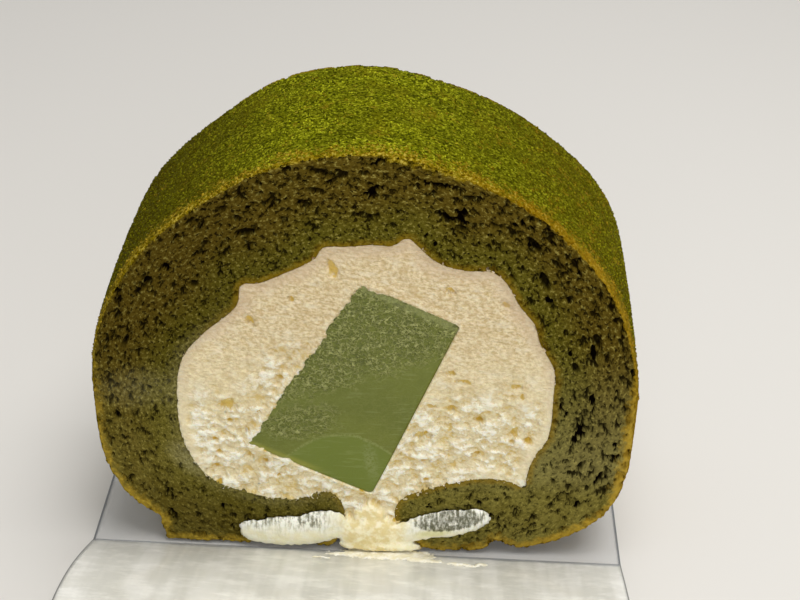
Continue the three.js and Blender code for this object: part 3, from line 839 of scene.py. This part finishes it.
def barFinish():
    finish, kit = newFinish("barFinish")
    place = kit.node("ShaderNodeTexCoord", {}, {}, "Object")
    x, y, z = kit.split(place)
    across, up = barPlace(kit, place)
    frost = frostShare(kit, place)
    cutSmooth = smoothShare(kit, place)
    grain = kit.noise(place, 0.45 * mm, 3, 0.7)
    ridges = barRidges(kit, place)
    broad = kit.noise(place, 6 * mm, 3, 0.5)
    colour = kit.colours(kit.step(broad, 0.35, 0.65), tint(93, 101, 18), tint(99, 107, 24))
    colour = kit.colours(cutSmooth * 0.85, colour, tint(100, 114, 29))
    colour = kit.colours(frost * kit.step(grain, 0.50, 0.38) * 0.5, colour, tint(60, 68, 12))
    colour = kit.colours(frost * kit.step(grain, 0.48, 0.62) * 0.2, colour, tint(140, 144, 66))
    colour = kit.colours(ridges * (frost * 0.8 + (1 - cutSmooth) * 0.06), colour, tint(184, 186, 118))
    scratches = kit.noise(kit.joined(x * 0.12, 0, z), 0.5 * mm, 2, 0.6)
    colour = kit.colours(kit.step(scratches, 0.56, 0.68) * (1 - frost) * 0.2, colour, tint(146, 154, 98))
    # A painted highlight along the edge of the smooth cut
    smoothEdgeHighlight = kit.step(kit.size(aboveSmooth(kit, place)), 0.5 * mm, 0.1 * mm)
    colour = kit.colours(smoothEdgeHighlight * kit.step(grain, 0.42, 0.55) * 0.35, colour, tint(156, 162, 104))
    haze = kit.step(kit.ellipse(x, z, (1.0, 19.5), (1.7, 6.0), 8), 1.0, 0.2) * kit.step(grain, 0.35, 0.6)
    colour = kit.colours(haze * 0.35, colour, tint(150, 156, 108))
    foot = kit.step(up, *bar["footBand"]) * kit.step(across, 4 * mm, -2 * mm)
    colour = kit.colours(foot * 0.6, colour, tint(142, 142, 50))
    # A painted highlight along the bar's top edge, with painted shade in the gaps to the cream above it
    topEdge = kit.step(up + (grain - 0.5) * 1.2 * mm, *bar["topBand"])
    topGapShade = kit.step(kit.noise(place, 1.6 * mm, 2, 0.6), 0.46, 0.38)
    colour = kit.colours(topEdge * 0.6, colour, tint(158, 163, 100))
    colour = kit.colours(topEdge * topGapShade * 0.35, colour, tint(62, 68, 18))
    relief = grain * (0.3 + frost * 0.4) + ridges * frost * 0.9
    setSurface(kit, {
        "Base Color": colour, "Roughness": 0.38, "Normal": bumped(kit, relief, 0.35 * mm, 0.8),
        "Subsurface Weight": 0.15, "Subsurface Radius": (0.8 * mm, 1.0 * mm, 0.4 * mm),
        "Subsurface Scale": 1.0})
    return finish


barPiece = copyNode("green_bar", "green_bar_set")
reshape(barPiece, bar, shapeBar)
finishPiece(barPiece, barFinish(), "green_bar", "green_bar")

# Clear film
film = {
    "thickness": 0.3 * mm, "creaseAheadLeft": 0.3 * mm, "creaseAheadRight": 1.3 * mm, "flapReach": 42 * mm,
    "riseLeft": 10.5 * mm, "riseRight": 6 * mm, "levelFrom": 0.69, "droopFrom": 0.55, "droop": 3 * mm,
    "across": 90, "along": 130,
}


# 0 at the film's left side and 1 at its right
def acrossFilm(x):
    return (x - filmLow.x) / (filmHigh.x - filmLow.x)


# How far a point is in front of the crease
def pastCrease(x, y):
    turned = film["creaseAheadRight"] - film["creaseAheadLeft"]
    return frontY - film["creaseAheadLeft"] - acrossFilm(x) * turned - y


# How high the film lies: flat behind the crease, bowed up in front of it, drooping at its end
def filmRise(kit, x, y):
    share = kit.larger(pastCrease(x, y) / film["flapReach"], 0)
    rise = acrossFilm(x) * (film["riseRight"] - film["riseLeft"]) + film["riseLeft"]
    bow = kit.math("SINE", kit.smaller(share / film["levelFrom"], 1) * (math.pi / 2)) * rise
    late = kit.larger(share - film["droopFrom"], 0) / (1 - film["droopFrom"])
    return bow - late * late * film["droop"]


def shapeFilm(kit, shape):
    x, y, z = kit.split(kit.node("GeometryNodeInputPosition"))
    return moved(kit, shape, kit.joined(0, 0, filmRise(kit, x, y)))


def filmFinish():
    finish, kit = newFinish("filmFinish")
    place = kit.node("ShaderNodeTexCoord", {}, {}, "Object")
    x, y, z = kit.split(place)
    past = pastCrease(x, y)
    flap = kit.step(past, -0.2 * mm, 0.8 * mm)
    bands = kit.noise(kit.joined(x, y * 0.12, z * 0.12), 5 * mm, 3, 0.6)
    clouds = kit.noise(kit.joined(x * 0.5, y, z), 3.5 * mm, 4, 0.6)
    scratches = kit.noise(kit.joined(x * 0.2, y, z), 0.8 * mm, 3, 0.6)
    haze = kit.step(bands, 0.35, 0.65) * 0.2 + kit.step(clouds, 0.45, 0.7) * 0.2
    haze = haze + kit.step(scratches, 0.58, 0.7) * 0.1
    haze = flap * (haze + 0.45) + (1 - flap) * 0.14
    toSide = kit.smaller(x - filmLow.x, filmHigh.x - x)
    # Painted shade: a dark grey line along the film's sides and its crease, made more opaque there
    edgeShade = kit.larger(kit.step(toSide, 0.40 * mm, 0.15 * mm), kit.step(kit.size(past), 0.28 * mm, 0.08 * mm))
    flapColour = kit.colours(kit.step(bands + clouds, 0.8, 1.2), tint(242, 242, 234), tint(251, 251, 246))
    colour = kit.colours(flap, tint(224, 230, 238), flapColour)
    colour = kit.colours(edgeShade * 0.85, colour, tint(104, 106, 104))
    alpha = kit.smaller(haze + edgeShade * 0.7, 1)
    setSurface(kit, {"Base Color": colour, "Roughness": 0.16, "Alpha": alpha, "Specular IOR Level": 0.6})
    return finish


# A level grid for the film or a part of it, its x and y given as (low, high) in metres
def filmGrid(name, across, along, columns, rows):
    bpy.ops.object.select_all(action="DESELECT")
    bpy.ops.mesh.primitive_grid_add(x_subdivisions=columns, y_subdivisions=rows, size=1,
                                    location=(sum(across) / 2, sum(along) / 2, 0))
    grid = bpy.context.object
    grid.name = name
    grid.scale = (across[1] - across[0], along[1] - along[0], 1)
    bpy.ops.object.transform_apply(location=True, rotation=True, scale=True)
    return grid


endInset = 0.12 * mm                    # its drooping end gets thicker in Y
filmAlong = (filmLow.y + endInset, filmHigh.y)
filmPiece = filmGrid("film", (filmLow.x, filmHigh.x), filmAlong, film["across"], film["along"])
applyNodes(filmPiece, shapeFilm)
applyModifier(filmPiece, "SOLIDIFY", thickness=film["thickness"], offset=1)
finishPiece(filmPiece, filmFinish(), "clear_film", "clear_film")

# Cream that ran over the crease and was dabbed on the flap
smears = {
    "across": (-12 * mm, 26 * mm), "along": (-24 * mm, -15.6 * mm), "columns": 190, "rows": 42,
    "height": 0.45 * mm, "thickness": 0.28 * mm,
    # Middle and half size in millimetres, and turn in degrees
    "dabs": (((3.4, -16.8), (8.4, 2.0), 0), ((-2.0, -17.2), (4.0, 1.0), 4),
             ((9.0, -18.4), (4.6, 0.8), -6), ((16.4, -19.6), (2.8, 0.45), -8),
             ((19.6, -19.2), (1.1, 0.5), 10), ((-7.0, -19.4), (1.6, 0.3), 0)),
}


def shapeSmears(kit, shape):
    place = kit.node("GeometryNodeInputPosition")
    x, y, z = kit.split(place)
    ragged = (kit.noise(place, 1.4 * mm, 4, 0.7) - 0.5) * 1.5
    cover = -1
    for middle, half, turn in smears["dabs"]:
        cover = kit.larger(cover, 1 - kit.ellipse(x, y, middle, half, turn))
    cover = cover + ragged
    swell = 0.6 + kit.noise(place, 0.9 * mm, 3, 0.6) * 0.8
    height = kit.larger(cover, 0) ** 0.5 * smears["height"] * swell
    lifted = moved(kit, shape, kit.joined(0, 0, filmRise(kit, x, y) + film["thickness"] + height))
    return kit.node("GeometryNodeDeleteGeometry", {"domain": "FACE"},
                    {"Geometry": lifted, "Selection": kit.math("LESS_THAN", cover, 0)})


def smearFinish():
    finish, kit = newFinish("smearFinish")
    place = kit.node("ShaderNodeTexCoord", {}, {}, "Object")
    patches = kit.step(kit.noise(place, 1.2 * mm, 3, 0.6), 0.4, 0.6)
    colour = kit.colours(patches, tint(238, 232, 206), tint(252, 250, 238))
    setSurface(kit, {"Base Color": colour, "Roughness": 0.4})
    return finish


smearPiece = filmGrid("film_smears", smears["across"], smears["along"], smears["columns"], smears["rows"])
applyNodes(smearPiece, shapeSmears)
applyModifier(smearPiece, "SOLIDIFY", thickness=smears["thickness"], offset=-1)
finishPiece(smearPiece, smearFinish(), "cream")
